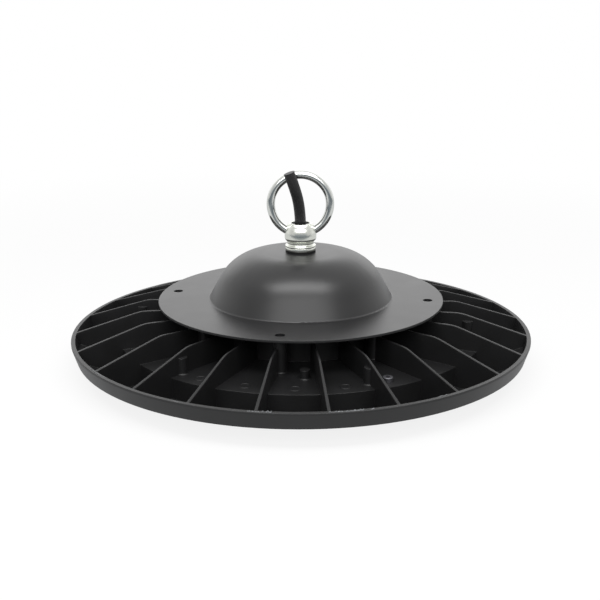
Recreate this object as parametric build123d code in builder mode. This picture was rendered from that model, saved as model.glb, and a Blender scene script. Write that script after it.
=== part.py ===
from build123d import *
import math
import os

os.makedirs("parts", exist_ok=True)

# A round high bay light, 300 mm across, in millimetres.
# The light stands on its clamp ring at z = 0, and its axis is Z.
# The camera side of the photograph is -Y, and angles are turned from +X towards +Y.

# Optic stack, from the floor up
clamp_ring_thick = 1.8
lens_flange_thick = 2.5
lens_gasket_thick = 1.0
casting_bottom_z = clamp_ring_thick + lens_flange_thick + lens_gasket_thick

# Die-cast heat sink
cast_overlap = 1.0
rim_outer_r = 150.0
rim_bottom_inset = 2.8
rim_height = 10.1
rim_wall = 2.6
rim_land = 1.2
rim_top_above_bottom = 17.0
rim_inner_draft = 2.0
rim_inner_depth = 8.0
rim_top_outer_round = 0.4
rim_top_inner_round = 0.3
rim_bottom_round = 1.0
bottom_flat_margin = 9.0
bottom_flat_round = 6.0
trough_width = 28.1
plateau_drop = 2.0
plateau_plate = 6.0
plateau_edge_round = 0.8
trough_drop = 14.4
trough_flat_width = 9.5
trough_round = 2.0
recess_side_wall = 6.8
neck_outer_r = 66.0
neck_wall = 4.0
fin_count = 24
fin_start_angle = 5.65
fin_tip_thick = 1.3
fin_root_thick = 2.5
fin_rise = 13.4
fin_slope_deg = 17.4
fin_knee_r = 26.0
fin_edge_chamfer = 0.25
fin_boss_count = 6
fin_boss_inset = 9.8
fin_boss_r = 3.3
fin_boss_rise = 8.0
fin_boss_start_angle = fin_start_angle - 360.0 / fin_count
pad_boss_r = 3.0
pad_boss_height = 5.5
pad_boss_inset = 25.3
pad_boss_angle = -88.7
boss_top_round = 0.8
boss_foot_round = 1.0

rim_top_z = casting_bottom_z + rim_top_above_bottom
rim_bottom_z = rim_top_z - rim_height
rim_inner_r = rim_outer_r - rim_wall
rim_bottom_r = rim_outer_r - rim_bottom_inset
plateau_r = rim_inner_r - trough_width
recess_r = plateau_r - recess_side_wall
fin_boss_circle_r = plateau_r - fin_boss_inset
pad_boss_circle_r = plateau_r - pad_boss_inset
plateau_z = rim_top_z - plateau_drop
recess_ceiling_z = plateau_z - plateau_plate
trough_z = rim_top_z - trough_drop
fin_top_z = rim_top_z + fin_rise
neck_inner_r = neck_outer_r - neck_wall

# Driver cover: dome and flange spun from one sheet
cover_sheet = 1.4
flange_width = 27.3
flange_gap = 5.6
dome_inset = 1.8
dome_rise = 30.2
dome_side_deg = 61.9
dome_shoulder_r = 33.0
dome_foot_r = 1.5
fillet_room = 0.98
crown_land_r = 17.0
crown_fall_deg = 1.5
crown_blend_r = 200.0
cover_gasket_thick = 1.5

flange_r = neck_outer_r + flange_width
dome_base_r = neck_inner_r - dome_inset
flange_bottom_z = fin_top_z + flange_gap
flange_top_z = flange_bottom_z + cover_sheet
dome_top_z = flange_top_z + dome_rise
neck_top_z = flange_bottom_z - cover_gasket_thick

# Bracket holes in the flange, over tapped pillars of the casting
bracket_count = 4
bracket_edge_margin = 9.9
bracket_hole_r = 3.1
bracket_start_angle = -8.4
pillar_r = 4.0
pillar_tap_r = 2.1
pillar_tap_depth = 15.0

bracket_circle_r = flange_r - bracket_edge_margin

# Cover screws, from the recess up into weld nuts under the flange
cover_screw_margin = 8.0
cover_screw_start_angle = bracket_start_angle + 180.0 / bracket_count
cover_screw_r = 2.0
cover_screw_clearance = 0.2
cover_screw_head_r = 3.5
cover_screw_head_height = 4.0
cover_screw_socket_r = 1.5
cover_screw_socket_depth = 2.0
cover_screw_end_gap = 0.7
cover_nut_flat_r = 3.5
cover_nut_height = 4.0
cover_boss_r = 4.6
cover_boss_gap = 0.2
cover_bore_depth = 4.4

cover_screw_circle_r = neck_outer_r + cover_screw_margin

# Eye: collar, neck, ball and hollow stem, with the ring pressed into the ball
cable_r = 3.6
cable_clearance = 0.4
eye_gasket_thick = 1.2
eye_gasket_r = 9.8
stem_r = 8.0
stem_clearance = 0.2
stem_chamfer = 0.8
collar_r = 10.05
collar_foot_r = 9.6
collar_foot_height = 1.8
collar_flare = 0.5
collar_band = 1.2
collar_cone_height = 1.4
collar_step_in = 0.9
collar_step_up = 0.7
collar_step = 0.35
eye_neck_r = 7.9
eye_bead_r = 8.5
eye_bead_height = 1.2
ball_foot_r = 8.6
ball_r = 10.1
ball_flat_r = 7.4
wire_r = 2.7
ring_mean_r = 19.1
ring_seat_depth = 3.9
washer_r = 12.5
washer_thick = 1.5
lock_nut_flat_r = 12.0
lock_nut_height = 6.0
stem_below_nut = 1.2

# Grommet in the ball's mouth
grommet_fit = 0.1
grommet_seat_r = 6.0
grommet_seat_depth = 2.0
grommet_height = 1.4
grommet_edge_chamfer = 0.3

# Pressure vent on the plateau
vent_inset = 9.0
vent_angle = -63.4
vent_head_r = 3.1
vent_head_height = 2.7
vent_head_round = 0.5
vent_socket_r = 1.25
vent_socket_depth = 1.3
vent_thread_r = 2.0
vent_thread_clearance = 0.05

vent_circle_r = plateau_r - vent_inset

# Driver in the dome
driver_side_gap = 14.2
driver_height = 26.0
driver_wall = 2.0
driver_ear_reach = 5.0
driver_ear_r = 5.0
driver_ear_thick = 2.5
driver_ear_count = 4
driver_ear_start_angle = 45.0
driver_lid_thick = 3.0
driver_lid_chamfer = 0.5
driver_fit = 0.1
driver_screw_r = 2.0
driver_screw_head_r = 3.6
driver_screw_head_height = 2.4
driver_screw_depth = 4.6
tap_clearance = 0.05
driver_collar_r = 4.0
driver_collar_reach = 1.0
terminal_length = 14.0
terminal_width = 11.0
terminal_height = 9.0
terminal_corner = 0.75
terminal_front_x = -10.0
terminal_port_depth = 5.0
terminal_screw_r = 1.5
terminal_screw_depth = 3.0

driver_r = dome_base_r - driver_side_gap
driver_ear_circle_r = driver_r + driver_ear_reach

# Mains cores past the end of the jacket
core_r = 1.2
core_offset_y = 2.2
core_offset_x = -0.6
earth_core_x = 2.0
core_bend_r = 6.0
core_entry_height = 5.0
core_fit = 0.1

# Protective earth on a cast boss of the neck
earth_angle = 90.0
earth_boss_inset = 8.0
earth_boss_r = 5.0
earth_boss_height = 12.0
earth_lug_r = 4.2
earth_lug_thick = 0.8
earth_barrel_r = 2.0
earth_barrel_height = 6.0
earth_barrel_offset = 5.6
earth_screw_r = 2.0
earth_screw_head_r = 3.5
earth_screw_head_height = 2.4
earth_screw_depth = 7.0
earth_run_height = 2.6

earth_circle_r = neck_inner_r - earth_boss_inset

# Driver output down to the light engine
dc_lead_r = 2.5
dc_lead_reach = 8.5
dc_lead_bend_r = 8.0
dc_exit_height = 16.0
dc_grommet_r = 4.2
dc_grommet_lip_r = 5.6
dc_grommet_lip_height = 1.5

dc_lead_circle_r = driver_r + dc_lead_reach

# Light engine
pad_thick = 0.4
pad_inset = 2.0
board_margin = 10.5
board_thick = 2.0
led_size = 7.0
led_height = 1.6
led_inner_count = 8
led_inner_circle_r = 38.0
led_outer_count = 16
led_outer_inset = 24.0
board_inner_screw_count = 4
board_inner_screw_circle_r = 58.0
board_outer_screw_count = 8
board_screw_inset = 7.0
board_screw_r = 1.5
board_screw_head_r = 2.8
board_screw_head_height = 2.0
board_screw_depth = 4.6
board_hole_clearance = 0.2
connector_length = 10.0
connector_width = 8.0
connector_height = 3.4
connector_corner = 0.7

board_r = recess_r - board_margin
pad_r = board_r - pad_inset
led_rings = (
    (led_inner_count, led_inner_circle_r, 180.0 / led_inner_count),
    (led_outer_count, board_r - led_outer_inset, 180.0 / led_outer_count),
)
board_screw_rings = (
    (board_inner_screw_count, board_inner_screw_circle_r, 180.0 / board_outer_screw_count),
    (board_outer_screw_count, board_r - board_screw_inset, 180.0 / board_outer_screw_count),
)

# Optic and its clamp
lens_seat_width = 6.1
lens_field_rise = 3.0
lens_field_thick = 2.5
lens_sleeve_gap = 1.0
lens_sleeve_wall = 2.5
lens_bump_r = 11.0
lens_bump_height = 3.4
lens_gasket_gap = 0.2
clamp_ring_margin = 0.4
clamp_ring_lip = 1.5
clamp_ring_chamfer = 0.35
clamp_screw_count = 12
clamp_screw_inset = 2.7
clamp_screw_r = 1.5
clamp_screw_head_r = 2.9
clamp_screw_length = 12.0
clamp_screw_socket_r = 1.0
clamp_screw_socket_depth = 1.0
clamp_hole_clearance = 0.2

lens_r = recess_r + lens_seat_width
lens_sleeve_r = recess_r - lens_sleeve_gap
lens_gasket_inner_r = recess_r + lens_gasket_gap
clamp_ring_outer_r = lens_r + clamp_ring_margin
clamp_ring_inner_r = recess_r - clamp_ring_lip
clamp_screw_circle_r = lens_r - clamp_screw_inset
bottom_flat_r = clamp_ring_outer_r + bottom_flat_margin

# Mains cable, from inside the stem, out of the ball and up past the ring
jacket_inside_stem = 1.5
cable_lean_height = 5.97
cable_bend_x = -1.9
cable_bend_y = -4.0
cable_bend_rise = 13.4
cable_end_x = -7.0
cable_end_y = -7.9
cable_end_rise = 14.3
cable_arc_share = 0.45


def finish(part, name):
    # Label a finished piece and write it to its own file.
    part.label = name
    export_step(part, f"parts/{name}.step")
    print(name, round(part.volume, 1))


def on_circle(radius, angle_deg, z):
    # A point at a radius and angle round the light's axis.
    angle = math.radians(angle_deg)
    return (radius * math.cos(angle), radius * math.sin(angle), z)


def cast_boss(radius, top_z, top_round):
    # A boss on the plateau, with a cast radius at its foot and its top edge rounded or left sharp.
    with BuildPart() as boss:
        with BuildSketch(Plane.XZ) as section:
            with BuildLine():
                Polyline(
                    (0, plateau_z - cast_overlap),
                    (radius + boss_foot_round + cast_overlap, plateau_z - cast_overlap),
                    (radius + boss_foot_round + cast_overlap, plateau_z),
                    (radius, plateau_z),
                    (radius, top_z),
                    (0, top_z),
                    close=True,
                )
            make_face()
            corners = section.vertices()
            fillet(corners.sort_by_distance((radius, plateau_z))[0], boss_foot_round)
            if top_round:
                fillet(corners.sort_by_distance((radius, top_z))[0], top_round)
        revolve(axis=Axis.Z)
    return boss.part


# One fin: a drafted blade cut to the side profile that slopes down to the rim
fin_end_r = rim_inner_r + cast_overlap
fin_knee_at_r = rim_inner_r - fin_rise / math.tan(math.radians(fin_slope_deg))
fin_end_drop = cast_overlap * math.tan(math.radians(fin_slope_deg))
fin_root_z = trough_z - cast_overlap

with BuildPart() as fin:
    with BuildSketch(Plane.YZ.offset(neck_outer_r - cast_overlap)):
        with BuildLine():
            Polyline(
                (-fin_root_thick / 2, fin_root_z),
                (fin_root_thick / 2, fin_root_z),
                (fin_tip_thick / 2, fin_top_z),
                (-fin_tip_thick / 2, fin_top_z),
                close=True,
            )
        make_face()
    extrude(amount=fin_end_r - neck_outer_r + cast_overlap)
    with BuildSketch(Plane.XZ):
        with BuildLine() as fin_side:
            FilletPolyline(
                (neck_outer_r - cast_overlap, fin_top_z),
                (fin_knee_at_r, fin_top_z),
                (fin_end_r, rim_top_z - fin_end_drop),
                radius=fin_knee_r,
            )
            Polyline(
                fin_side.line @ 1,
                (fin_end_r - rim_inner_draft, rim_top_z - rim_inner_depth - cast_overlap),
                (bottom_flat_r, trough_z - cast_overlap),
                (plateau_r - cast_overlap, trough_z - cast_overlap),
                (plateau_r - cast_overlap, plateau_z - cast_overlap),
                (neck_outer_r - cast_overlap, plateau_z - cast_overlap),
                fin_side.line @ 0,
            )
        make_face()
    extrude(amount=fin_root_thick, both=True, mode=Mode.INTERSECT)
    fin_top_edges = fin.edges().filter_by(
        lambda edge: edge.center().Z > rim_top_z
        and abs(edge.center().Y) > fin_edge_chamfer
        and edge.center().X > neck_outer_r
    )
    chamfer(fin_top_edges, length=fin_edge_chamfer)

# The casting: rim, trough, plateau and neck wall in one turned section
with BuildPart() as heat_sink:
    with BuildSketch(Plane.XZ) as casting_section:
        with BuildLine():
            Polyline(
                (0, recess_ceiling_z),
                (recess_r, recess_ceiling_z),
                (recess_r, casting_bottom_z),
                (bottom_flat_r, casting_bottom_z),
                (rim_bottom_r, rim_bottom_z),
                (rim_outer_r, rim_top_z - rim_land),
                (rim_outer_r, rim_top_z),
                (rim_inner_r, rim_top_z),
                (rim_inner_r - rim_inner_draft, rim_top_z - rim_inner_depth),
                (plateau_r + trough_flat_width, trough_z),
                (plateau_r, trough_z),
                (plateau_r, plateau_z),
                (neck_outer_r, plateau_z),
                (neck_outer_r, neck_top_z),
                (neck_inner_r, neck_top_z),
                (neck_inner_r, plateau_z),
                (0, plateau_z),
                close=True,
            )
        make_face()
        corners = casting_section.vertices()
        for r, z, radius in (
            (rim_outer_r, rim_top_z, rim_top_outer_round),
            (rim_inner_r, rim_top_z, rim_top_inner_round),
            (rim_bottom_r, rim_bottom_z, rim_bottom_round),
            (plateau_r, plateau_z, plateau_edge_round),
            (plateau_r, trough_z, trough_round),
            (bottom_flat_r, casting_bottom_z, bottom_flat_round),
        ):
            fillet(corners.sort_by_distance((r, z))[0], radius)
    revolve(axis=Axis.Z)
    with PolarLocations(0, fin_count, fin_start_angle):
        add(fin.part)
    # Pillars under the flange's holes, nut bosses, fin bosses and the small pad boss
    with PolarLocations(bracket_circle_r, bracket_count, bracket_start_angle):
        add(cast_boss(pillar_r, flange_bottom_z, 0))
    with PolarLocations(cover_screw_circle_r, bracket_count, cover_screw_start_angle):
        add(cast_boss(cover_boss_r, flange_bottom_z - cover_nut_height - cover_boss_gap, 0))
    with PolarLocations(fin_boss_circle_r, fin_boss_count, fin_boss_start_angle):
        add(cast_boss(fin_boss_r, rim_top_z + fin_boss_rise, boss_top_round))
    with PolarLocations(pad_boss_circle_r, 1, pad_boss_angle):
        add(cast_boss(pad_boss_r, plateau_z + pad_boss_height, boss_top_round))
    # Earth boss, cast against the inside of the neck wall
    with BuildSketch(Plane.XY.offset(plateau_z)):
        with PolarLocations(earth_circle_r, 1, earth_angle):
            Circle(earth_boss_r)
            with Locations(((neck_inner_r - earth_circle_r) / 2, 0)):
                Rectangle(neck_inner_r - earth_circle_r + 2 * cast_overlap, 2 * earth_boss_r)
    extrude(amount=earth_boss_height)
    # Tapped holes and clearance holes
    with BuildSketch(Plane.XY.offset(flange_bottom_z)):
        with PolarLocations(bracket_circle_r, bracket_count, bracket_start_angle):
            Circle(pillar_tap_r)
    extrude(amount=-pillar_tap_depth, mode=Mode.SUBTRACT)
    with BuildSketch(Plane.XY.offset(recess_ceiling_z)):
        with PolarLocations(cover_screw_circle_r, bracket_count, cover_screw_start_angle):
            Circle(cover_screw_r + cover_screw_clearance)
    extrude(amount=flange_bottom_z - recess_ceiling_z, mode=Mode.SUBTRACT)
    with BuildSketch(Plane.XY.offset(recess_ceiling_z)):
        with PolarLocations(cover_screw_circle_r, bracket_count, cover_screw_start_angle):
            Circle(cover_screw_head_r + cover_screw_clearance)
    extrude(amount=cover_bore_depth, mode=Mode.SUBTRACT)
    with BuildSketch(Plane.XY.offset(plateau_z)):
        with PolarLocations(driver_ear_circle_r, driver_ear_count, driver_ear_start_angle):
            Circle(driver_screw_r + tap_clearance)
    extrude(amount=-driver_screw_depth, mode=Mode.SUBTRACT)
    with BuildSketch(Plane.XY.offset(plateau_z + earth_boss_height)):
        with PolarLocations(earth_circle_r, 1, earth_angle):
            Circle(earth_screw_r + tap_clearance)
    extrude(amount=-earth_screw_depth, mode=Mode.SUBTRACT)
    with BuildSketch(Plane.XY.offset(plateau_z)):
        with PolarLocations(vent_circle_r, 1, vent_angle):
            Circle(vent_thread_r + vent_thread_clearance)
        with PolarLocations(dc_lead_circle_r, 1):
            Circle(dc_grommet_r)
    extrude(amount=-plateau_plate, mode=Mode.SUBTRACT)
    with BuildSketch(Plane.XY.offset(recess_ceiling_z)):
        for count, circle_r, start in board_screw_rings:
            with PolarLocations(circle_r, count, start):
                Circle(board_screw_r + tap_clearance)
    extrude(amount=board_screw_depth - pad_thick, mode=Mode.SUBTRACT)
    with BuildSketch(Plane.XY.offset(casting_bottom_z)):
        with PolarLocations(clamp_screw_circle_r, clamp_screw_count):
            Circle(clamp_screw_r + tap_clearance)
    extrude(amount=clamp_screw_length, mode=Mode.SUBTRACT)

finish(heat_sink.part, "heat_sink")

# Driver cover: dome and flange, with four empty bracket holes and the stem hole
stem_hole_r = stem_r + stem_clearance
crown_fall = math.tan(math.radians(crown_fall_deg))
dome_slope = math.tan(math.radians(dome_side_deg))
shoulder_rise = (dome_rise - crown_fall * (dome_base_r - crown_land_r)) / (1 - crown_fall / dome_slope)
shoulder_z = flange_top_z + shoulder_rise
shoulder_r = dome_base_r - shoulder_rise / dome_slope
shoulder_half_turn = math.radians(dome_side_deg - crown_fall_deg) / 2
crown_run = shoulder_r - crown_land_r - crown_blend_r * math.tan(math.radians(crown_fall_deg) / 2)
side_run = shoulder_rise / math.sin(math.radians(dome_side_deg)) - dome_foot_r
shoulder_limit_r = fillet_room * min(crown_run, side_run) / math.tan(shoulder_half_turn)

with BuildPart() as driver_cover:
    with BuildSketch(Plane.XZ):
        with BuildLine():
            FilletPolyline(
                (stem_hole_r, dome_top_z),
                (crown_land_r, dome_top_z),
                (shoulder_r, shoulder_z),
                (dome_base_r, flange_top_z),
                (flange_r, flange_top_z),
                radius=[crown_blend_r, min(dome_shoulder_r, shoulder_limit_r), dome_foot_r],
            )
            offset(amount=cover_sheet, side=Side.RIGHT)
        make_face()
    revolve(axis=Axis.Z)
    with BuildSketch(Plane.XY.offset(flange_top_z)):
        with PolarLocations(bracket_circle_r, bracket_count, bracket_start_angle):
            Circle(bracket_hole_r)
    extrude(amount=-cover_sheet, mode=Mode.SUBTRACT)

finish(driver_cover.part, "driver_cover")

# Eye heights, worked up from the dome's top
dome_inside_z = dome_top_z - cover_sheet
collar_foot_z = dome_top_z + eye_gasket_thick
collar_flare_z = collar_foot_z + collar_foot_height
collar_top_z = collar_flare_z + collar_band
bead_foot_z = collar_top_z + collar_cone_height
ball_foot_z = bead_foot_z + eye_bead_height
ball_centre_z = ball_foot_z + math.sqrt(ball_r**2 - ball_foot_r**2)
ball_flat_z = ball_centre_z + math.sqrt(ball_r**2 - ball_flat_r**2)
ring_centre_z = ball_centre_z + ring_mean_r
nut_bottom_z = dome_inside_z - washer_thick - lock_nut_height
stem_bottom_z = nut_bottom_z - stem_below_nut
cable_bore_r = cable_r + cable_clearance

# Hanging ring: round wire on one arc, open inside the ball
ring_end_deg = 2 * math.degrees(math.asin((ball_r - ring_seat_depth) / (2 * ring_mean_r)))

with BuildPart() as hanging_ring:
    with BuildLine(Plane.XZ) as ring_path:
        CenterArc((0, ring_centre_z), ring_mean_r, ring_end_deg - 90, 360 - 2 * ring_end_deg)
    with BuildSketch(Plane(origin=ring_path.line @ 0, z_dir=ring_path.line % 0)):
        Circle(wire_r)
    sweep()

finish(hanging_ring.part, "hanging_ring")

# Eye body: stem, collar with its step, bead and ball in one turned piece
with BuildPart() as eye_body:
    with BuildSketch(Plane.XZ):
        with BuildLine():
            Polyline(
                (ball_flat_r, ball_flat_z),
                (grommet_seat_r, ball_flat_z),
                (grommet_seat_r, ball_flat_z - grommet_seat_depth),
                (cable_bore_r, ball_flat_z - grommet_seat_depth),
                (cable_bore_r, stem_bottom_z),
                (stem_r - stem_chamfer, stem_bottom_z),
                (stem_r, stem_bottom_z + stem_chamfer),
                (stem_r, collar_foot_z),
                (collar_foot_r, collar_foot_z),
                (collar_foot_r, collar_flare_z - collar_flare),
                (collar_r, collar_flare_z),
                (collar_r, collar_top_z),
                (collar_r - collar_step_in, collar_top_z + collar_step_up),
                (collar_r - collar_step_in - collar_step, collar_top_z + collar_step_up),
                (eye_neck_r, bead_foot_z),
            )
            ThreePointArc(
                (eye_neck_r, bead_foot_z),
                (eye_bead_r, bead_foot_z + eye_bead_height / 2),
                (eye_neck_r, ball_foot_z),
            )
            Line((eye_neck_r, ball_foot_z), (ball_foot_r, ball_foot_z))
            ThreePointArc((ball_foot_r, ball_foot_z), (ball_r, ball_centre_z), (ball_flat_r, ball_flat_z))
        make_face()
    revolve(axis=Axis.Z)
    add(hanging_ring.part, mode=Mode.SUBTRACT)

finish(eye_body.part, "eye_body")

# Rubber gasket under the collar
with BuildPart() as eye_gasket:
    with BuildSketch(Plane.XY.offset(dome_top_z)):
        Circle(eye_gasket_r)
        Circle(stem_hole_r, mode=Mode.SUBTRACT)
    extrude(amount=eye_gasket_thick)

finish(eye_gasket.part, "eye_gasket")

# Washer and lock nut on the stem, inside the dome
with BuildPart() as eye_washer:
    with BuildSketch(Plane.XY.offset(dome_inside_z)):
        Circle(washer_r)
        Circle(stem_hole_r, mode=Mode.SUBTRACT)
    extrude(amount=-washer_thick)

finish(eye_washer.part, "eye_washer")

with BuildPart() as eye_lock_nut:
    with BuildSketch(Plane.XY.offset(nut_bottom_z)):
        RegularPolygon(lock_nut_flat_r, 6, major_radius=False)
        Circle(stem_r + tap_clearance, mode=Mode.SUBTRACT)
    extrude(amount=lock_nut_height)

finish(eye_lock_nut.part, "eye_lock_nut")

# Grommet in the ball's mouth, round the cable and just below the flat
grommet_bore_r = cable_r + grommet_fit
grommet_r = grommet_seat_r - grommet_fit
grommet_bottom_z = ball_flat_z - grommet_seat_depth
grommet_top_z = grommet_bottom_z + grommet_height

with BuildPart() as cable_grommet:
    with BuildSketch(Plane.XZ):
        with BuildLine():
            Polyline(
                (grommet_bore_r, grommet_bottom_z),
                (grommet_r, grommet_bottom_z),
                (grommet_r, grommet_top_z - grommet_edge_chamfer),
                (grommet_r - grommet_edge_chamfer, grommet_top_z),
                (grommet_bore_r, grommet_top_z),
                close=True,
            )
        make_face()
    revolve(axis=Axis.Z)

finish(cable_grommet.part, "cable_grommet")

# Mains cable: straight through the stem and ball, then leaning past the ring's front
jacket_end_z = stem_bottom_z + jacket_inside_stem
cable_points = [
    Vector(0, 0, jacket_end_z),
    Vector(0, 0, ball_flat_z + cable_lean_height),
    Vector(cable_bend_x, cable_bend_y, ball_flat_z + cable_lean_height + cable_bend_rise),
    Vector(cable_end_x, cable_end_y, ball_flat_z + cable_lean_height + cable_bend_rise + cable_end_rise),
]
cable_runs = [after - before for before, after in zip(cable_points, cable_points[1:])]
cable_radii = [
    cable_arc_share * min(run.length, following.length)
    / math.tan(math.radians(run.get_angle(following)) / 2)
    for run, following in zip(cable_runs, cable_runs[1:])
]
print("cable radii", [round(radius, 1) for radius in cable_radii])

with BuildPart() as mains_cable:
    with BuildLine():
        cable_route = FilletPolyline(*cable_points, radius=cable_radii)
    with BuildSketch(Plane(origin=cable_route @ 0, z_dir=cable_route % 0)):
        Circle(cable_r)
    sweep()

finish(mains_cable.part, "mains_cable")
cable_volume_ratio = mains_cable.part.volume / (math.pi * cable_r**2 * cable_route.length)
print("cable length", round(cable_route.length, 1), "volume ratio", round(cable_volume_ratio, 4))

# Gasket between the neck wall and the flange
with BuildPart() as cover_gasket:
    with BuildSketch(Plane.XY.offset(neck_top_z)):
        Circle(neck_outer_r)
        Circle(neck_inner_r, mode=Mode.SUBTRACT)
    extrude(amount=cover_gasket_thick)

finish(cover_gasket.part, "cover_gasket")

# Weld nuts under the flange and the screws that come up into them
with BuildPart() as cover_nuts:
    with BuildSketch(Plane.XY.offset(flange_bottom_z)):
        with PolarLocations(cover_screw_circle_r, bracket_count, cover_screw_start_angle):
            RegularPolygon(cover_nut_flat_r, 6, major_radius=False)
            Circle(cover_screw_r + tap_clearance, mode=Mode.SUBTRACT)
    extrude(amount=-cover_nut_height)

finish(cover_nuts.part, "cover_nuts")

cover_head_z = recess_ceiling_z + cover_bore_depth

with BuildPart() as cover_screws:
    with BuildSketch(Plane.XY.offset(cover_head_z)):
        with PolarLocations(cover_screw_circle_r, bracket_count, cover_screw_start_angle):
            Circle(cover_screw_head_r)
    extrude(amount=-cover_screw_head_height)
    with BuildSketch(Plane.XY.offset(cover_head_z)):
        with PolarLocations(cover_screw_circle_r, bracket_count, cover_screw_start_angle):
            Circle(cover_screw_r)
    extrude(amount=flange_bottom_z - cover_screw_end_gap - cover_head_z)
    with BuildSketch(Plane.XY.offset(cover_head_z - cover_screw_head_height)):
        with PolarLocations(cover_screw_circle_r, bracket_count, cover_screw_start_angle):
            RegularPolygon(cover_screw_socket_r, 6, major_radius=False)
    extrude(amount=cover_screw_socket_depth, mode=Mode.SUBTRACT)

finish(cover_screws.part, "cover_screws")

# Pressure vent, screwed through the plateau's plate
with BuildPart() as pressure_vent:
    with BuildSketch(Plane.XY.offset(plateau_z)):
        with PolarLocations(vent_circle_r, 1, vent_angle):
            Circle(vent_head_r)
    extrude(amount=vent_head_height)
    fillet(pressure_vent.edges().group_by(Axis.Z)[-1], radius=vent_head_round)
    with BuildSketch(Plane.XY.offset(plateau_z)):
        with PolarLocations(vent_circle_r, 1, vent_angle):
            Circle(vent_thread_r)
    extrude(amount=-plateau_plate)
    with BuildSketch(Plane.XY.offset(plateau_z + vent_head_height)):
        with PolarLocations(vent_circle_r, 1, vent_angle):
            RegularPolygon(vent_socket_r, 6, major_radius=False)
    extrude(amount=-vent_socket_depth, mode=Mode.SUBTRACT)

finish(pressure_vent.part, "pressure_vent")

# Driver: potted round case with ears, filling, lid and terminal block
driver_top_z = plateau_z + driver_height
dc_exit_z = plateau_z + dc_exit_height

with BuildPart() as driver_case:
    with BuildSketch(Plane.XY.offset(plateau_z)):
        Circle(driver_r)
    extrude(amount=driver_height)
    with BuildSketch(Plane.XY.offset(plateau_z)):
        with PolarLocations(driver_ear_circle_r, driver_ear_count, driver_ear_start_angle):
            Circle(driver_ear_r)
            with Locations((-driver_ear_r, 0)):
                Rectangle(2 * driver_ear_r, 2 * driver_ear_r)
    extrude(amount=driver_ear_thick)
    with BuildSketch(Plane.YZ.offset(driver_r - driver_wall)):
        with Locations((0, dc_exit_z)):
            Circle(driver_collar_r)
    extrude(amount=driver_wall + driver_collar_reach)
    with BuildSketch(Plane.XY.offset(plateau_z + driver_wall)):
        Circle(driver_r - driver_wall)
    extrude(amount=driver_height, mode=Mode.SUBTRACT)
    with BuildSketch(Plane.XY.offset(plateau_z)):
        with PolarLocations(driver_ear_circle_r, driver_ear_count, driver_ear_start_angle):
            Circle(driver_screw_r + driver_fit)
    extrude(amount=driver_ear_thick, mode=Mode.SUBTRACT)
    with BuildSketch(Plane.YZ.offset(driver_r - 2 * driver_wall)):
        with Locations((0, dc_exit_z)):
            Circle(dc_lead_r + driver_fit)
    extrude(amount=3 * driver_wall + driver_collar_reach, mode=Mode.SUBTRACT)

finish(driver_case.part, "driver_case")

driver_fill_r = driver_r - driver_wall - driver_fit

with BuildPart() as driver_potting:
    with BuildSketch(Plane.XY.offset(plateau_z + driver_wall)):
        Circle(driver_fill_r)
    extrude(amount=driver_height - driver_wall - driver_lid_thick)

finish(driver_potting.part, "driver_potting")

with BuildPart() as driver_lid:
    with BuildSketch(Plane.XY.offset(driver_top_z - driver_lid_thick)):
        Circle(driver_fill_r)
    extrude(amount=driver_lid_thick)
    chamfer(driver_lid.edges().group_by(Axis.Z)[-1], length=driver_lid_chamfer)

finish(driver_lid.part, "driver_lid")


def pan_screws(placements, seat_z, shank_r, head_r, head_height, depth):
    # Headed screws on circles: the head stands off the seat, and the shank runs the other way.
    with BuildPart() as screws:
        for count, circle_r, start in placements:
            with BuildSketch(Plane.XY.offset(seat_z)):
                with PolarLocations(circle_r, count, start):
                    Circle(head_r)
            extrude(amount=head_height)
            with BuildSketch(Plane.XY.offset(seat_z)):
                with PolarLocations(circle_r, count, start):
                    Circle(shank_r)
            extrude(amount=-depth)
    return screws.part


driver_screws = pan_screws(
    [(driver_ear_count, driver_ear_circle_r, driver_ear_start_angle)],
    plateau_z + driver_ear_thick, driver_screw_r, driver_screw_head_r,
    driver_screw_head_height, driver_ear_thick + driver_screw_depth,
)
finish(driver_screws, "driver_screws")

with BuildPart() as terminal_block:
    with BuildSketch(Plane.XY.offset(driver_top_z)):
        with Locations((terminal_front_x - terminal_length / 2, 0)):
            Rectangle(terminal_length, terminal_width)
    extrude(amount=terminal_height)
    chamfer(terminal_block.edges().filter_by(Axis.Z), length=terminal_corner)
    with BuildSketch(Plane.YZ.offset(terminal_front_x)):
        with Locations(*[(side * core_offset_y, driver_top_z + core_entry_height) for side in (-1, 1)]):
            Circle(core_r + core_fit)
    extrude(amount=-terminal_port_depth, mode=Mode.SUBTRACT)
    with BuildSketch(Plane.XY.offset(driver_top_z + terminal_height)):
        with Locations(*[(terminal_front_x - terminal_length / 2, side * core_offset_y) for side in (-1, 1)]):
            Circle(terminal_screw_r)
    extrude(amount=-terminal_screw_depth, mode=Mode.SUBTRACT)

finish(terminal_block.part, "terminal_block")


def core_sweep(points):
    # A round core along straight runs joined by one bend radius.
    with BuildPart() as core:
        with BuildLine() as path:
            FilletPolyline(*points, radius=core_bend_r)
        with BuildSketch(Plane(origin=path.line @ 0, z_dir=path.line % 0)):
            Circle(core_r)
        sweep()
    return core.part


core_entry_z = driver_top_z + core_entry_height
for core_name, side in (("live_core", 1), ("neutral_core", -1)):
    core_y = side * core_offset_y
    core = core_sweep([
        (core_offset_x, core_y, jacket_end_z),
        (core_offset_x, core_y, core_entry_z),
        (terminal_front_x - terminal_port_depth + core_r, core_y, core_entry_z),
    ])
    finish(core, core_name)

# Earth lug on its boss, the screw that holds it, and the earth core
earth_boss_top_z = plateau_z + earth_boss_height
earth_barrel_angle = earth_angle + math.degrees(earth_barrel_offset / earth_circle_r)
barrel_x, barrel_y, barrel_top_z = on_circle(
    earth_circle_r, earth_barrel_angle, earth_boss_top_z + earth_lug_thick + earth_barrel_height)

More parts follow.
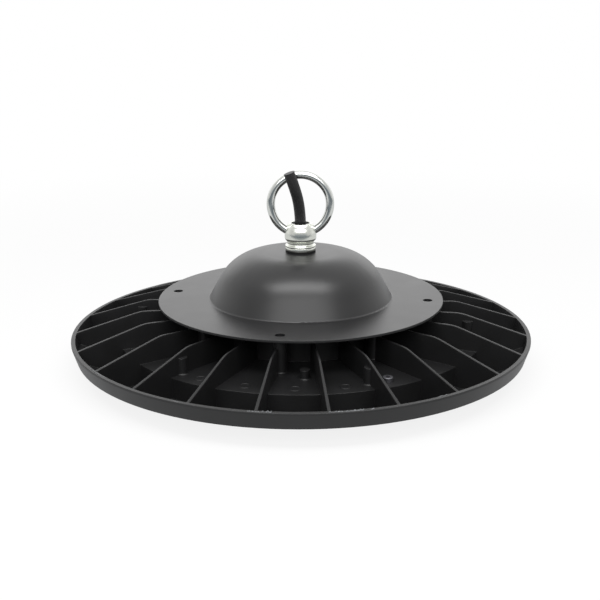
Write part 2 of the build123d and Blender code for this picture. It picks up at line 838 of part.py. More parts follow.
with BuildPart() as earth_lug:
    with BuildSketch(Plane.XY.offset(earth_boss_top_z)):
        with PolarLocations(earth_circle_r, 1, earth_angle):
            Circle(earth_lug_r)
        with Locations((barrel_x, barrel_y)):
            Circle(earth_barrel_r)
        make_hull()
        with PolarLocations(earth_circle_r, 1, earth_angle):
            Circle(earth_screw_r + core_fit, mode=Mode.SUBTRACT)
    extrude(amount=earth_lug_thick)
    with BuildSketch(Plane.XY.offset(earth_boss_top_z + earth_lug_thick)):
        with Locations((barrel_x, barrel_y)):
            Circle(earth_barrel_r)
    extrude(amount=earth_barrel_height)

finish(earth_lug.part, "earth_lug")

earth_screw = pan_screws(
    [(1, earth_circle_r, earth_angle)], earth_boss_top_z + earth_lug_thick,
    earth_screw_r, earth_screw_head_r, earth_screw_head_height,
    earth_lug_thick + earth_screw_depth - core_fit,
)
finish(earth_screw, "earth_screw")

earth_run_z = driver_top_z + earth_run_height
earth_core = core_sweep([
    (earth_core_x, 0, jacket_end_z),
    (earth_core_x, 0, earth_run_z),
    (barrel_x, barrel_y, earth_run_z),
    (barrel_x, barrel_y, barrel_top_z),
])
finish(earth_core, "earth_core")

# Light engine under the plateau: thermal pad, board, packages, connector
board_top_z = recess_ceiling_z - pad_thick
board_bottom_z = board_top_z - board_thick


def board_disc(radius, top_z, thick, lead_hole_r, screw_hole_r):
    # A disc with the lead's hole and the screw holes of the light engine.
    with BuildPart() as disc:
        with BuildSketch(Plane.XY.offset(top_z)):
            Circle(radius)
            with PolarLocations(dc_lead_circle_r, 1):
                Circle(lead_hole_r, mode=Mode.SUBTRACT)
            for count, circle_r, start in board_screw_rings:
                with PolarLocations(circle_r, count, start):
                    Circle(screw_hole_r, mode=Mode.SUBTRACT)
        extrude(amount=-thick)
    return disc.part


board_screw_hole_r = board_screw_r + board_hole_clearance
finish(board_disc(pad_r, recess_ceiling_z, pad_thick, dc_grommet_r, board_screw_hole_r), "thermal_pad")
finish(
    board_disc(board_r, board_top_z, board_thick, dc_lead_r + board_hole_clearance, board_screw_hole_r),
    "led_board",
)

with BuildPart() as leds:
    for count, circle_r, start in led_rings:
        with BuildSketch(Plane.XY.offset(board_bottom_z)):
            with PolarLocations(circle_r, count, start):
                Rectangle(led_size, led_size)
        extrude(amount=-led_height)

finish(leds.part, "leds")

with BuildPart() as board_screws:
    for count, circle_r, start in board_screw_rings:
        with BuildSketch(Plane.XY.offset(board_bottom_z)):
            with PolarLocations(circle_r, count, start):
                Circle(board_screw_head_r)
        extrude(amount=-board_screw_head_height)
        with BuildSketch(Plane.XY.offset(board_bottom_z)):
            with PolarLocations(circle_r, count, start):
                Circle(board_screw_r)
        extrude(amount=board_thick + board_screw_depth)

finish(board_screws.part, "board_screws")

with BuildPart() as led_connector:
    with BuildSketch(Plane.XY.offset(board_bottom_z)):
        with PolarLocations(dc_lead_circle_r, 1):
            Rectangle(connector_width, connector_length)
    extrude(amount=-connector_height)
    chamfer(led_connector.edges().filter_by(Axis.Z), length=connector_corner)

finish(led_connector.part, "led_connector")

# Driver output lead and the grommet where it passes the plateau
with BuildPart() as dc_lead:
    with BuildLine(Plane.XZ) as dc_path:
        FilletPolyline(
            (driver_r - driver_wall, dc_exit_z),
            (dc_lead_circle_r, dc_exit_z),
            (dc_lead_circle_r, board_bottom_z),
            radius=dc_lead_bend_r,
        )
    with BuildSketch(Plane(origin=dc_path.line @ 0, z_dir=dc_path.line % 0)):
        Circle(dc_lead_r)
    sweep()

finish(dc_lead.part, "dc_lead")

with BuildPart() as dc_grommet:
    with BuildSketch(Plane.XY.offset(plateau_z)):
        with PolarLocations(dc_lead_circle_r, 1):
            Circle(dc_grommet_lip_r)
    extrude(amount=dc_grommet_lip_height)
    with BuildSketch(Plane.XY.offset(plateau_z)):
        with PolarLocations(dc_lead_circle_r, 1):
            Circle(dc_grommet_r - grommet_fit)
    extrude(amount=-plateau_plate)
    with BuildSketch(Plane.XY.offset(recess_ceiling_z)):
        with PolarLocations(dc_lead_circle_r, 1):
            Circle(dc_lead_r + grommet_fit)
    extrude(amount=plateau_plate + dc_grommet_lip_height, mode=Mode.SUBTRACT)

finish(dc_grommet.part, "dc_grommet")

# Optic: gasket, stepped lens plate with a dome under each package, clamp ring, screws
clamp_hole_r = clamp_screw_r + clamp_hole_clearance
lens_flange_z = clamp_ring_thick
lens_field_z = lens_flange_z + lens_flange_thick + lens_field_rise - lens_field_thick

with BuildPart() as lens_gasket:
    with BuildSketch(Plane.XY.offset(casting_bottom_z)):
        Circle(lens_r)
        Circle(lens_gasket_inner_r, mode=Mode.SUBTRACT)
        with PolarLocations(clamp_screw_circle_r, clamp_screw_count):
            Circle(clamp_hole_r, mode=Mode.SUBTRACT)
    extrude(amount=-lens_gasket_thick)

finish(lens_gasket.part, "lens_gasket")

with BuildPart() as lens_bump:
    with BuildSketch(Plane.XZ):
        with BuildLine():
            Line((0, 0), (lens_bump_r, 0))
            RadiusArc(
                (lens_bump_r, 0), (0, -lens_bump_height),
                (lens_bump_r**2 + lens_bump_height**2) / (2 * lens_bump_height),
            )
            Line((0, -lens_bump_height), (0, 0))
        make_face()
    revolve(axis=Axis.Z)

with BuildPart() as lens_plate:
    with BuildSketch(Plane.XZ):
        with BuildLine():
            Polyline(
                (0, lens_field_z),
                (lens_sleeve_r - lens_sleeve_wall, lens_field_z),
                (lens_sleeve_r - lens_sleeve_wall, lens_flange_z),
                (lens_r, lens_flange_z),
                (lens_r, lens_flange_z + lens_flange_thick),
                (lens_sleeve_r, lens_flange_z + lens_flange_thick),
                (lens_sleeve_r, lens_field_z + lens_field_thick),
                (0, lens_field_z + lens_field_thick),
                close=True,
            )
        make_face()
    revolve(axis=Axis.Z)
    with Locations((0, 0, lens_field_z)):
        for count, circle_r, start in led_rings:
            with PolarLocations(circle_r, count, start):
                add(lens_bump.part)
    with BuildSketch(Plane.XY.offset(lens_flange_z)):
        with PolarLocations(clamp_screw_circle_r, clamp_screw_count):
            Circle(clamp_hole_r)
    extrude(amount=lens_flange_thick, mode=Mode.SUBTRACT)

finish(lens_plate.part, "lens_plate")

with BuildPart() as clamp_ring:
    with BuildSketch():
        Circle(clamp_ring_outer_r)
        Circle(clamp_ring_inner_r, mode=Mode.SUBTRACT)
    extrude(amount=clamp_ring_thick)
    chamfer(clamp_ring.edges().group_by(Axis.Z)[0], length=clamp_ring_chamfer)
    with Locations(Plane(origin=(0, 0, 0), z_dir=(0, 0, -1))):
        with PolarLocations(clamp_screw_circle_r, clamp_screw_count):
            CounterSinkHole(clamp_hole_r, clamp_screw_head_r + tap_clearance)

finish(clamp_ring.part, "clamp_ring")

with BuildPart() as clamp_screw:
    with BuildSketch(Plane.XZ):
        with BuildLine():
            Polyline(
                (0, tap_clearance),
                (clamp_screw_head_r - 2 * tap_clearance, tap_clearance),
                (clamp_screw_r, clamp_screw_head_r - clamp_screw_r - tap_clearance),
                (clamp_screw_r, clamp_screw_length),
                (0, clamp_screw_length),
                close=True,
            )
        make_face()
    revolve(axis=Axis.Z)
    with BuildSketch():
        RegularPolygon(clamp_screw_socket_r, 6, major_radius=False)
    extrude(amount=clamp_screw_socket_depth, mode=Mode.SUBTRACT)

with BuildPart() as clamp_screws:
    with PolarLocations(clamp_screw_circle_r, clamp_screw_count):
        add(clamp_screw.part)

finish(clamp_screws.part, "clamp_screws")
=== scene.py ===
import bpy
import bmesh
import math
import random
from mathutils import Matrix, Vector


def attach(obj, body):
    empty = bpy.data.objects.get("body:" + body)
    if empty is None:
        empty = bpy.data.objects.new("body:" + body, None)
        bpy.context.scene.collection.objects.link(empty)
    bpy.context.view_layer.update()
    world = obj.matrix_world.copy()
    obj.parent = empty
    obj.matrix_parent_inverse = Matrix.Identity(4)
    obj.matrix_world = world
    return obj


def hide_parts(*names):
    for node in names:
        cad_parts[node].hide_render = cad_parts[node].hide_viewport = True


# Round high bay light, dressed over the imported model. Metres, Z up, the photographed side is -Y.
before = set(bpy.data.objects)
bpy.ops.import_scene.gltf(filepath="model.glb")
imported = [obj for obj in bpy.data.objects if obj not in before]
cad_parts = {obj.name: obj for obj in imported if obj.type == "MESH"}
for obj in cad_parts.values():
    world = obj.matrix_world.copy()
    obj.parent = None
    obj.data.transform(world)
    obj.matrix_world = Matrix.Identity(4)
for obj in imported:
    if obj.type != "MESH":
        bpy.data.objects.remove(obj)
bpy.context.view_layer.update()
scene = bpy.context.scene
scene.view_settings.view_transform = "Standard"
mm = 0.001


def linearColour(hexCode):
    # sRGB hex to linear RGBA
    parts = [int(hexCode[i:i + 2], 16) / 255 for i in (1, 3, 5)]
    return [p / 12.92 if p <= 0.04045 else ((p + 0.055) / 1.055) ** 2.4 for p in parts] + [1.0]


def addNode(owner, kind, settings=None, links=None):
    # one node of a material or the world, with its settings and what feeds it
    tree = owner.node_tree
    node = tree.nodes.new(kind)
    for name, value in (settings or {}).items():
        if isinstance(name, int) or name in node.inputs:
            node.inputs[name].default_value = value
        else:
            setattr(node, name, value)
    for name, source in (links or {}).items():
        tree.links.new(source, node.inputs[name])
    return node


def addMaths(owner, operation, *values):
    # one sum of values that are each a number or a socket
    node = addNode(owner, "ShaderNodeMath", {"operation": operation})
    for slot, value in enumerate(values):
        if isinstance(value, (int, float)):
            node.inputs[slot].default_value = value
        else:
            owner.node_tree.links.new(value, node.inputs[slot])
    return node.outputs[0]


def addRamp(owner, value, settings):
    # a soft step from one level to another
    settings = {"interpolation_type": "SMOOTHSTEP", **settings}
    return addNode(owner, "ShaderNodeMapRange", settings, {"Value": value}).outputs["Result"]


def addBlend(owner, share, first, second):
    # a blend of two colours that are each a hex code or a socket
    node = addNode(owner, "ShaderNodeMix", {"data_type": "RGBA"}, {0: share})
    for slot, colour in ((6, first), (7, second)):
        if isinstance(colour, str):
            node.inputs[slot].default_value = linearColour(colour)
        else:
            owner.node_tree.links.new(colour, node.inputs[slot])
    return node.outputs[2]


def newFinish(name, settings):
    # a material with its Principled shader set
    material = bpy.data.materials.new(name)
    material.use_nodes = True
    shader = material.node_tree.nodes["Principled BSDF"]
    for socket, value in settings.items():
        shader.inputs[socket].default_value = linearColour(value) if isinstance(value, str) else value
    return material, shader


def objectCoordinates(material, scale):
    # Object coordinates, stretched where a finish has a direction
    place = addNode(material, "ShaderNodeTexCoord")
    stretched = addNode(material, "ShaderNodeMapping", {"Scale": scale}, {"Vector": place.outputs["Object"]})
    return stretched.outputs["Vector"]


noiseDetail = {"fine": 2.0, "broad": 3.0}
edgeSamples = 4


def addGrain(material, shader, grain):
    # fine grain of a coat or moulding: bump, and a slight change of roughness and colour
    where = objectCoordinates(material, grain.get("stretch", (1, 1, 1)))
    fine = addNode(material, "ShaderNodeTexNoise", {"Scale": 1 / grain["size"], "Detail": noiseDetail["fine"]},
                   {"Vector": where})
    broad = addNode(material, "ShaderNodeTexNoise", {"Scale": 1 / grain["patch"], "Detail": noiseDetail["broad"]},
                    {"Vector": where})
    bump = addNode(material, "ShaderNodeBump", {"Strength": grain["strength"], "Distance": grain["height"]},
                   {"Height": fine.outputs["Fac"]})
    material.node_tree.links.new(bump.outputs["Normal"], shader.inputs["Normal"])
    if "edge" in grain:
        rounded = addNode(material, "ShaderNodeBevel", {"samples": edgeSamples, "Radius": grain["edge"]})
        material.node_tree.links.new(rounded.outputs["Normal"], bump.inputs["Normal"])
    rough = addNode(material, "ShaderNodeMapRange", {"To Min": grain["rough"][0], "To Max": grain["rough"][1]},
                    {"Value": broad.outputs["Fac"]})
    material.node_tree.links.new(rough.outputs["Result"], shader.inputs["Roughness"])
    tint = addBlend(material, broad.outputs["Fac"], grain["dark"], grain["light"])
    material.node_tree.links.new(tint, shader.inputs["Base Color"])


def grainedFinish(name, settings, grain):
    # a finish with its grain
    material, shader = newFinish(name, settings)
    addGrain(material, shader, grain)
    return material


def dress(nodeNames, material):
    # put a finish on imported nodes
    for name in nodeNames:
        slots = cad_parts[name].data.materials
        slots.clear()
        slots.append(material)


def makePiece(name, mesh, material):
    # a bmesh turned into a finished object on the light's one body
    data = bpy.data.meshes.new(name)
    mesh.to_mesh(data)
    mesh.free()
    piece = bpy.data.objects.new(name, data)
    scene.collection.objects.link(piece)
    data.materials.append(material)
    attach(piece, "root")
    return piece


# Camera, at the photograph's angle
print("camera")
camera = {
    "lens": 57.336, "distance": 0.6344, "elevation": 16.424, "targetHeight": 0.0396,
    "side": -0.00051, "roll": 0.228, "sensor": 36, "near": 0.05, "far": 20,
}
tilt = math.radians(camera["elevation"])
cameraData = bpy.data.cameras.new("camera")
cameraData.lens = camera["lens"]
cameraData.sensor_width = camera["sensor"]
cameraData.clip_start = camera["near"]
cameraData.clip_end = camera["far"]
cameraObject = bpy.data.objects.new("camera", cameraData)
scene.collection.objects.link(cameraObject)
cameraObject.location = (
    camera["side"], -camera["distance"] * math.cos(tilt),
    camera["targetHeight"] + camera["distance"] * math.sin(tilt),
)
cameraObject.rotation_euler = (
    Matrix.Rotation(math.pi / 2 - tilt, 4, "X") @ Matrix.Rotation(-math.radians(camera["roll"]), 4, "Z")
).to_euler()
scene.camera = cameraObject

# Cable jacket: smooth black rubber, extruded, so its faint grain runs along it
cableRubber = grainedFinish("extrudedRubberBlack", {"IOR": 1.5, "Specular IOR Level": 0.4}, {
    "size": 0.8 * mm, "patch": 9 * mm, "strength": 0.25, "height": 0.04 * mm, "rough": (0.42, 0.52),
    "dark": "#1a1a1a", "light": "#232323", "stretch": (1, 1, 0.2),
})

print("mains cable")
cable = {
    # the source's route, with one more point on the long straight run, and its end more upright in depth
    "route": [
        (0, 0, 0.0643), (0, 0, 0.0837), (0, 0, 0.0945), (-0.0012, -0.0035, 0.1065), (-0.0042, -0.0078, 0.1175),
        (-0.0071, -0.0083, 0.1255),
    ],
    "diameter": 0.0072, "length": 0.0634, "order": 3, "stepsAlong": 24, "stepsRound": 10,
}
curve = bpy.data.curves.new("mainsCable", "CURVE")
curve.dimensions = "3D"
spline = curve.splines.new("NURBS")
spline.points.add(len(cable["route"]) - 1)
for point, place in zip(spline.points, cable["route"]):
    point.co = (*place, 1)
spline.order_u = cable["order"]
spline.use_endpoint_u = True
spline.resolution_u = cable["stepsAlong"]
curve.bevel_depth = cable["diameter"] / 2
curve.bevel_resolution = cable["stepsRound"]
curve.use_fill_caps = True
curve.materials.append(cableRubber)
mainsCable = bpy.data.objects.new("mainsCable", curve)
scene.collection.objects.link(mainsCable)
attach(mainsCable, "root")
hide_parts("mains_cable")

# Finishes of the light
print("finishes")
# powder coat on a casting: matt black with a fine orange peel, thicker and rounder at its edges and corners
castCoat = grainedFinish("powderCoatOnCasting", {"IOR": 1.5, "Specular IOR Level": 0.42}, {
    "size": 0.7 * mm, "patch": 14 * mm, "strength": 0.45, "height": 0.06 * mm, "rough": (0.36, 0.46),
    "dark": "#151515", "light": "#1c1c1d", "edge": 0.5 * mm,
})
# the same coat on flash and burrs, with light grey flecks in random 1 mm patches: partly coat rubbed to the metal,
# partly painted highlight standing in for the glints along the rim's top
wornFlashCoatAndPaintedHighlight = grainedFinish("wornPowderCoatAndPaintedHighlight", {"IOR": 1.5, "Metallic": 0.3}, {
    "size": 0.5 * mm, "patch": 1.0 * mm, "strength": 0.4, "height": 0.05 * mm, "rough": (0.35, 0.5),
    "dark": "#1f1f1f", "light": "#a6a8ab",
})
# powder coat on spun sheet: the same black, smoother, with a satin shine
sheetCoat = grainedFinish("powderCoatOnSpunSheet", {"IOR": 1.55}, {
    "size": 0.8 * mm, "patch": 20 * mm, "strength": 0.35, "height": 0.045 * mm, "rough": (0.31, 0.38),
    "dark": "#171717", "light": "#1c1c1d", "edge": 0.4 * mm,
})
# chrome over turned steel: fine turning marks round the axis draw its reflections out up and down
turnedChrome = grainedFinish("turnedChromePlate", {"Metallic": 1.0, "Anisotropic": 0.7}, {
    "size": 0.25 * mm, "patch": 1.5 * mm, "strength": 0.16, "height": 0.012 * mm, "rough": (0.2, 0.28),
    "dark": "#dadcd4", "light": "#e9ebe4", "stretch": (0.04, 0.04, 1),
})
turning = addNode(turnedChrome, "ShaderNodeTangent", {"direction_type": "RADIAL", "axis": "Z"})
turnedShader = turnedChrome.node_tree.nodes["Principled BSDF"]
turnedChrome.node_tree.links.new(turning.outputs["Tangent"], turnedShader.inputs["Tangent"])
# chrome over drawn wire: mirror bright, with the slow waviness of a bent and polished rod
wireChrome = grainedFinish("polishedChromePlate", {"Metallic": 1.0}, {
    "size": 1.8 * mm, "patch": 4 * mm, "strength": 0.3, "height": 0.04 * mm, "rough": (0.12, 0.19),
    "dark": "#d5d7d3", "light": "#e2e4e0",
})
rubber = grainedFinish("mouldedNitrileRubber", {"IOR": 1.5, "Specular IOR Level": 0.3}, {
    "size": 0.5 * mm, "patch": 5 * mm, "strength": 0.3, "height": 0.03 * mm, "rough": (0.6, 0.75),
    "dark": "#0c0c0c", "light": "#161616",
})
zincSteel = grainedFinish("zincPlatedSteel", {"Metallic": 1.0}, {
    "size": 0.4 * mm, "patch": 3 * mm, "strength": 0.2, "height": 0.02 * mm, "rough": (0.25, 0.4),
    "dark": "#a9adb0", "light": "#c6c9ca",
})
silicone = grainedFinish("mouldedSilicone", {"IOR": 1.41}, {
    "size": 0.6 * mm, "patch": 8 * mm, "strength": 0.2, "height": 0.03 * mm, "rough": (0.5, 0.65),
    "dark": "#8b8d90", "light": "#9a9c9f",
})
nickelPlate = grainedFinish("dullNickelPlate", {"Metallic": 1.0}, {
    "size": 0.5 * mm, "patch": 2 * mm, "strength": 0.2, "height": 0.02 * mm, "rough": (0.42, 0.55),
    "dark": "#66666a", "light": "#7c7c80",
})
castAluminium = grainedFinish("bareCastAluminium", {"Metallic": 1.0}, {
    "size": 0.8 * mm, "patch": 6 * mm, "strength": 0.4, "height": 0.06 * mm, "rough": (0.4, 0.6),
    "dark": "#a5a8ab", "light": "#c0c3c5",
})
pottingResin = grainedFinish("castPottingResin", {"IOR": 1.52}, {
    "size": 2 * mm, "patch": 10 * mm, "strength": 0.2, "height": 0.1 * mm, "rough": (0.3, 0.5),
    "dark": "#3c3c3f", "light": "#4a4a4d",
})
whiteNylon = grainedFinish("mouldedNylonWhite", {"IOR": 1.53}, {
    "size": 0.5 * mm, "patch": 6 * mm, "strength": 0.2, "height": 0.03 * mm, "rough": (0.4, 0.55),
    "dark": "#d6d5d0", "light": "#e6e5e0",
})
solderMask = grainedFinish("whiteSolderMask", {"IOR": 1.5}, {
    "size": 0.5 * mm, "patch": 12 * mm, "strength": 0.15, "height": 0.02 * mm, "rough": (0.3, 0.45),
    "dark": "#e2e2de", "light": "#efefec",
})
phosphor = grainedFinish("yellowPhosphor", {"IOR": 1.45}, {
    "size": 0.3 * mm, "patch": 2 * mm, "strength": 0.2, "height": 0.02 * mm, "rough": (0.3, 0.5),
    "dark": "#e0b83c", "light": "#f0cc55",
})
lensPlastic = newFinish("clearPolycarbonate", {
    "Base Color": "#f4f7f8", "IOR": 1.585, "Transmission Weight": 1.0, "Roughness": 0.05,
})[0]
brownCore = grainedFinish("pvcInsulationBrown", {"IOR": 1.53}, {
    "size": 0.4 * mm, "patch": 4 * mm, "strength": 0.1, "height": 0.02 * mm, "rough": (0.35, 0.45),
    "dark": "#5a3420", "light": "#6a4028",
})
blueCore = grainedFinish("pvcInsulationBlue", {"IOR": 1.53}, {
    "size": 0.4 * mm, "patch": 4 * mm, "strength": 0.1, "height": 0.02 * mm, "rough": (0.35, 0.45),
    "dark": "#1d4c9c", "light": "#2a5cb0",
})
earthCore = grainedFinish("pvcInsulationGreenYellow", {"IOR": 1.53}, {
    "size": 0.4 * mm, "patch": 1.2 * mm, "strength": 0.1, "height": 0.02 * mm, "rough": (0.35, 0.45),
    "dark": "#2f8a3a", "light": "#e2cc28",
})

dress(["heat_sink"], castCoat)
dress(["driver_cover", "clamp_ring"], sheetCoat)
dress(["eye_body"], turnedChrome)
dress(["hanging_ring"], wireChrome)
dress(["eye_gasket", "cable_grommet", "cover_gasket"], rubber)
dress(["eye_washer", "eye_lock_nut", "cover_nuts", "cover_screws", "driver_screws", "earth_screw",
       "board_screws", "clamp_screws"], zincSteel)
dress(["lens_gasket", "dc_grommet", "thermal_pad"], silicone)
dress(["pressure_vent", "earth_lug"], nickelPlate)
dress(["driver_case"], castAluminium)
dress(["driver_potting"], pottingResin)
dress(["driver_lid", "terminal_block", "led_connector"], whiteNylon)
dress(["led_board"], solderMask)
dress(["leds"], phosphor)
dress(["lens_plate"], lensPlastic)
dress(["live_core"], brownCore)
dress(["neutral_core"], blueCore)
dress(["earth_core"], earthCore)
dress(["dc_lead", "mains_cable"], cableRubber)

# Eye body: the turned piece with the ball's low, full lower half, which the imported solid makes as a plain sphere.
# It has no seats for the ring's ends, which run into it out of sight.
print("eye body")


def turnedArc(centre, radii, start, end, steps):
    # points on an arc of a lathe profile, in mm, angles in degrees from the horizontal
    angles = [math.radians(start + (end - start) * i / steps) for i in range(steps + 1)]
    return [(centre[0] + radii[0] * math.cos(a), centre[1] + radii[1] * math.sin(a)) for a in angles]


def turnedPiece(name, profile, segments, creaseAngle, material):
    # one closed lathe profile spun round Z, smooth but for its real edges
    mesh = bmesh.new()
    verts = [mesh.verts.new((r * mm, 0, z * mm)) for r, z in profile]
    edges = [mesh.edges.new(pair) for pair in zip(verts, verts[1:] + verts[:1])]
    bmesh.ops.spin(mesh, geom=verts + edges, cent=(0, 0, 0), axis=(0, 0, 1), angle=2 * math.pi, steps=segments,
                   use_merge=True)
    bmesh.ops.recalc_face_normals(mesh, faces=mesh.faces)
    for face in mesh.faces:
        face.smooth = True
    for edge in mesh.edges:
        edge.smooth = edge.calc_face_angle(0) < math.radians(creaseAngle)
    return makePiece(name, mesh, material)


eye = {
    # points are radius and height in mm, arcs are centre, radii and angles in degrees
    "stem": [(4.0, 62.8), (7.2, 62.8), (8.0, 63.6), (8.0, 74.1)],
    "collar": [(9.6, 74.1), (9.85, 74.45), (9.95, 74.9), (9.87, 76.15), (9.78, 76.3)],
    "upperCorner": (9.4, 77.0), "cornerRadii": (0.65, 0.65), "cornerAngles": (-50, 75), "cornerSteps": 8,
    "step": [(9.25, 77.75), (9.0, 77.9), (8.7, 78.1), (8.5, 78.5), (8.6, 79.1)],
    "groove": [(8.85, 79.6), (8.7, 79.8), (8.95, 79.98)], "low": (8.0, 82.4), "lowRadii": (2.3, 2.3),
    "lowAngles": (-62, 0), "lowSteps": 10,
    "high": (3.0, 83.4), "highRadii": (7.3, 10.6), "highAngles": (0, 52.5), "highSteps": 22,
    "mouth": [(7.2, 91.9), (6.25, 91.9), (6.0, 91.7), (6.0, 89.87), (4.0, 89.87)],
    "segments": 96, "creaseAngle": 32,
}
profile = eye["stem"] + eye["collar"]
profile += turnedArc(eye["upperCorner"], eye["cornerRadii"], *eye["cornerAngles"], eye["cornerSteps"])
profile += eye["step"] + eye["groove"]
profile += turnedArc(eye["low"], eye["lowRadii"], *eye["lowAngles"], eye["lowSteps"])
profile += turnedArc(eye["high"], eye["highRadii"], *eye["highAngles"], eye["highSteps"])
profile += eye["mouth"]
eyeBody = turnedPiece("eyeBody", profile, eye["segments"], eye["creaseAngle"], turnedChrome)
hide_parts("eye_body")

# Casting marks: a faint ring from an ejector pin in each compartment, and the flash left along the rim's top
print("casting marks")
random.seed(7)
marks = {
    # mm and degrees; one compartment has the vent and no mark
    "circle": 110.0, "first": 13.15, "step": 15, "count": 24, "leftOut": -61.85, "sameAngle": 0.01,
    "plateau": 20.3, "ring": [(3.0, -0.1), (3.1, 0.1), (3.3, 0.2), (3.5, 0.1), (3.6, -0.1)], "segments": 28,
}
mesh = bmesh.new()
for k in range(marks["count"]):
    angle = math.radians(marks["first"] + marks["step"] * k)
    if abs(math.sin((angle - math.radians(marks["leftOut"])) / 2)) < marks["sameAngle"]:
        continue
    centre = Vector((marks["circle"] * math.cos(angle), marks["circle"] * math.sin(angle), marks["plateau"]))
    verts = [mesh.verts.new((centre + Vector((r, 0, z))) * mm) for r, z in marks["ring"]]
    edges = [mesh.edges.new(pair) for pair in zip(verts, verts[1:])]
    bmesh.ops.spin(mesh, geom=verts + edges, cent=centre * mm, axis=(0, 0, 1), angle=2 * math.pi,
                   steps=marks["segments"], use_merge=True)
bmesh.ops.recalc_face_normals(mesh, faces=mesh.faces)
ejectorMarks = makePiece("ejectorMarks", mesh, castCoat)

flash = {
    # start angle, end angle, outer radius, tallest in mm
    "runs": [(-101.0, -96.0, 149.2, 1.3), (-84.5, -77.3, 149.2, 1.2), (-75.8, -75.0, 149.1, 1.2),
             (-147.0, -139.5, 148.6, 0.7), (-60.0, -57.5, 148.0, 0.5), (-118.0, -116.0, 149.0, 0.5)],
    # crest: its height before it is torn, and how far back it lies as a divisor of the width
    "step": 0.25, "width": 0.8, "rimTop": 22.3, "sink": 0.15, "crest": 0.02, "crestBack": 3,
    "crestMatch": 0.005, "shortest": 0.03, "power": 2,
}
mesh = bmesh.new()
for start, end, radius, tallest in flash["runs"]:
    foot = Matrix.Rotation(math.radians(start), 3, "Z")
    corners = [
        (radius - flash["width"], flash["rimTop"] - flash["sink"]),
        (radius - flash["width"] / flash["crestBack"], flash["rimTop"] + flash["crest"]),
        (radius, flash["rimTop"] - flash["sink"]),
    ]
    verts = [mesh.verts.new(foot @ Vector((r * mm, 0, z * mm))) for r, z in corners]
    edges = [mesh.edges.new(pair) for pair in zip(verts, verts[1:])]
    bmesh.ops.spin(mesh, geom=verts + edges, cent=(0, 0, 0), axis=(0, 0, 1), angle=math.radians(end - start),
                   steps=round((end - start) / flash["step"]))
    for vert in mesh.verts:
        if abs(vert.co.z / mm - flash["rimTop"] - flash["crest"]) < flash["crestMatch"]:
            vert.co.z += random.uniform(flash["shortest"], 1) ** flash["power"] * tallest * mm
bmesh.ops.recalc_face_normals(mesh, faces=mesh.faces)
# painted highlight: the flash's light grey flecks stand in partly for its glints and partly for coat rubbed to the
# metal
rimFlash = makePiece("rimFlash", mesh, wornFlashCoatAndPaintedHighlight)

# Studio: pale floor, white surroundings with one opening at the camera's side, soft lamps
print("studio")
studio = {
    "floorRadius": 6.0, "floorSegments": 96, "floorDrop": 0.3 * mm, "floorColour": "#f4f4f4", "floorRough": 0.9,
    # the floor's own glow, as a share, from near the light to far out
    "floorGlow": 0.85, "fadeStart": 0.25, "fadeEnd": 0.9,
    # the grey floor in front: its colour, its share near the light, and where it grows to full
    "greyColour": "#6d757b", "nearGrey": 0.3, "greyStart": 0.27, "greyEnd": 0.33,
    # the surroundings: light on the object, colours, and how they turn dimmer to the front
    "ambient": 0.4, "white": "#ffffff", "frontDim": "#d4d4d4", "dimStart": -0.3, "dimEnd": 0.3,
    # the opening: its sizes are shares of its distance
    "openingColour": "#7d868e", "openingHalfWidth": 1.0, "openingTop": 0.17, "openingEdge": 0.25, "sideEdge": 0.1,
    "leastDepth": 0.001,
}


def whenSeen(owner):
    # 1 for rays from the camera, from a gloss or through clear plastic, 0 for light on the object; and gloss alone
    rays = addNode(owner, "ShaderNodeLightPath")
    seen = addMaths(owner, "MAXIMUM", rays.outputs["Is Camera Ray"], rays.outputs["Is Glossy Ray"])
    seen = addMaths(owner, "MAXIMUM", seen, rays.outputs["Is Transmission Ray"])
    return seen, rays.outputs["Is Glossy Ray"]


floorMaterial, floorShader = newFinish("paleStudioFloor", {
    "Base Color": studio["floorColour"], "Roughness": studio["floorRough"], "Specular IOR Level": 0.0,
})
seen, glossy = whenSeen(floorMaterial)
spot = addNode(floorMaterial, "ShaderNodeTexCoord").outputs["Object"]
reach = addNode(floorMaterial, "ShaderNodeVectorMath", {"operation": "LENGTH"}, {0: spot})
# near the light the floor keeps its shadow, further out it fades to plain white
glowShare = addRamp(floorMaterial, reach.outputs["Value"], {
    "From Min": studio["fadeStart"], "From Max": studio["fadeEnd"], "To Min": studio["floorGlow"], "To Max": 1.0,
})
share = addMaths(floorMaterial, "MULTIPLY", seen, glowShare)
# a grey floor in front of the white one, for gloss only
axes = addNode(floorMaterial, "ShaderNodeSeparateXYZ", {}, {0: spot})
forward = addMaths(floorMaterial, "MULTIPLY", axes.outputs["Y"], -1.0)
grey = addRamp(floorMaterial, forward, {
    "From Min": studio["greyStart"], "From Max": studio["greyEnd"], "To Min": studio["nearGrey"], "To Max": 1.0,
})
grey = addMaths(floorMaterial, "MULTIPLY", grey, glossy)
floorTone = addBlend(floorMaterial, grey, studio["white"], studio["greyColour"])
glow = addNode(floorMaterial, "ShaderNodeEmission", {"Strength": 1.0}, {"Color": floorTone})
mixed = addNode(floorMaterial, "ShaderNodeMixShader", {},
                {0: share, 1: floorShader.outputs[0], 2: glow.outputs[0]})
output = floorMaterial.node_tree.nodes["Material Output"]
floorMaterial.node_tree.links.new(mixed.outputs[0], output.inputs["Surface"])
floorMaterial.cycles.emission_sampling = "NONE"

# the floor lies a little below the light, whose flat underside would flicker against it
floorMesh = bmesh.new()
bmesh.ops.create_circle(floorMesh, cap_ends=True, segments=studio["floorSegments"], radius=studio["floorRadius"],
                        matrix=Matrix.Translation((0, 0, -studio["floorDrop"])))
floorData = bpy.data.meshes.new("floor")
floorMesh.to_mesh(floorData)
floorMesh.free()
floorData.materials.append(floorMaterial)
floor = bpy.data.objects.new("floor", floorData)
scene.collection.objects.link(floor)

world = bpy.data.worlds.new("whiteStudio")
scene.world = world
world.use_nodes = True
world.cycles.sampling_method = "NONE"
sky = world.node_tree.nodes["Background"]
seen, glossy = whenSeen(world)
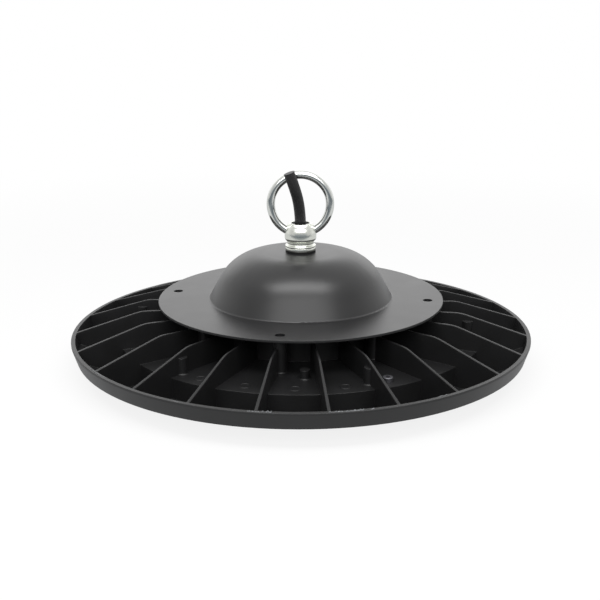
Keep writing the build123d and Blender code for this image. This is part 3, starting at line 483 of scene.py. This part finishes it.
# the opening that the plated parts show: a dim patch of the surroundings in front, for gloss only
direction = addNode(world, "ShaderNodeTexCoord").outputs["Generated"]
axes = addNode(world, "ShaderNodeSeparateXYZ", {}, {0: direction})
toFront = addMaths(world, "MULTIPLY", axes.outputs["Y"], -1.0)
depth = addMaths(world, "MAXIMUM", toFront, studio["leastDepth"])
across = addMaths(world, "ABSOLUTE", addMaths(world, "DIVIDE", axes.outputs["X"], depth))
upward = addMaths(world, "DIVIDE", axes.outputs["Z"], depth)
inWidth = addRamp(world, across, {
    "From Min": studio["openingHalfWidth"] + studio["sideEdge"],
    "From Max": studio["openingHalfWidth"] - studio["sideEdge"],
})
inHeight = addRamp(world, upward, {
    "From Min": studio["openingTop"] + studio["openingEdge"],
    "From Max": studio["openingTop"] - studio["openingEdge"],
})
opening = addMaths(world, "MULTIPLY", addMaths(world, "MULTIPLY", inWidth, inHeight), glossy)
# the front half of the surroundings is a little dimmer than the back, for gloss only
dim = addRamp(world, toFront, {"From Min": studio["dimStart"], "From Max": studio["dimEnd"]})
wall = addBlend(world, addMaths(world, "MULTIPLY", dim, glossy), studio["white"], studio["frontDim"])
tone = addBlend(world, opening, wall, studio["openingColour"])
world.node_tree.links.new(tone, sky.inputs["Color"])
level = addNode(world, "ShaderNodeMapRange", {"To Min": studio["ambient"], "To Max": 1.0}, {"Value": seen})
world.node_tree.links.new(level.outputs["Result"], sky.inputs["Strength"])

lampAim = Vector((0, 0, 0.05))
lamps = [
    # name, place, size, watts
    ("highSoftbox", (0.0, -0.45, 1.16), (1.4, 0.42), 11.0),
    ("lowSoftbox", (0.0, -1.0, 0.7), (1.7, 0.42), 6.0),
    ("backSoftbox", (0.0, 1.9, 0.75), (3.2, 0.9), 5.5),
]
for name, place, size, watts in lamps:
    lampData = bpy.data.lights.new(name, "AREA")
    lampData.shape = "RECTANGLE"
    lampData.size, lampData.size_y = size
    lampData.energy = watts
    lamp = bpy.data.objects.new(name, lampData)
    scene.collection.objects.link(lamp)
    lamp.location = place
    lamp.rotation_euler = (lampAim - Vector(place)).to_track_quat("-Z", "Y").to_euler()
